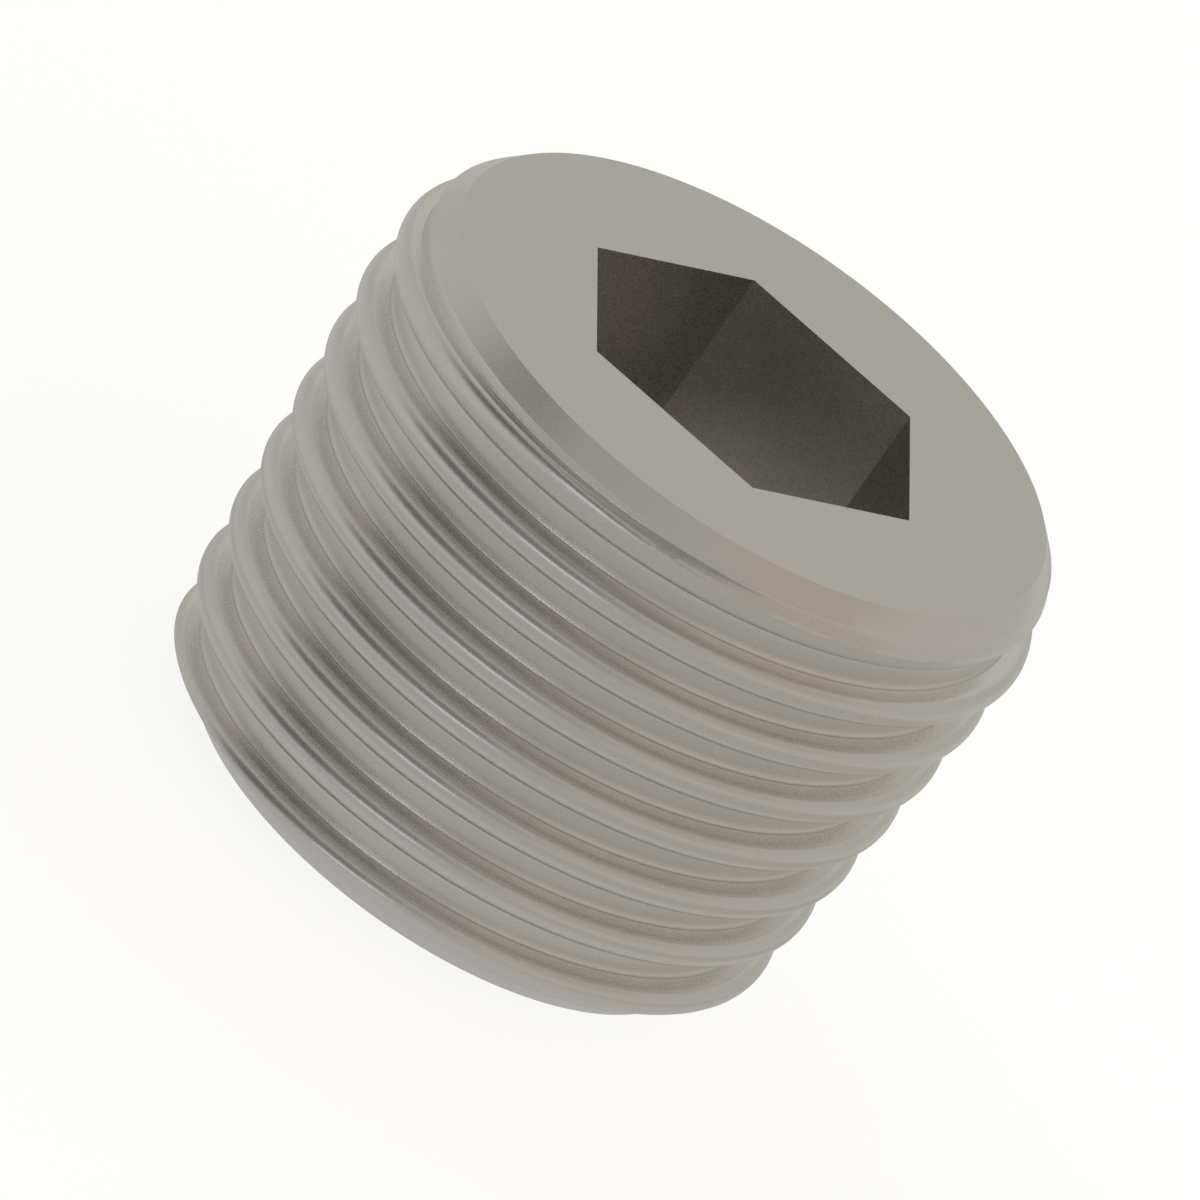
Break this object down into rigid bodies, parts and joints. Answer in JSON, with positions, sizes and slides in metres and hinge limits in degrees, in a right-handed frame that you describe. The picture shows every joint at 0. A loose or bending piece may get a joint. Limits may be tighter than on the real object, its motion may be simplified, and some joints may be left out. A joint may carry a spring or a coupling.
{
  "type": "orifice plug",
  "caption": "short tapered screw plug with coarse rounded thread, hex socket in its flat bevelled face and a small drilled orifice through the other end",
  "frame": {"origin": "middle of the small end face, where the orifice opens", "axes": "Z is the axis of the plug, from the small end up to the face with the hex socket; X points at a corner of the hex socket"},
  "size_m": [0.0104, 0.0104, 0.0079],
  "materials": {
    "stainless": "fine satin, bare metal"
  },
  "bodies": {
    "root": {"plug": "stainless"}
  },
  "joints": []
}
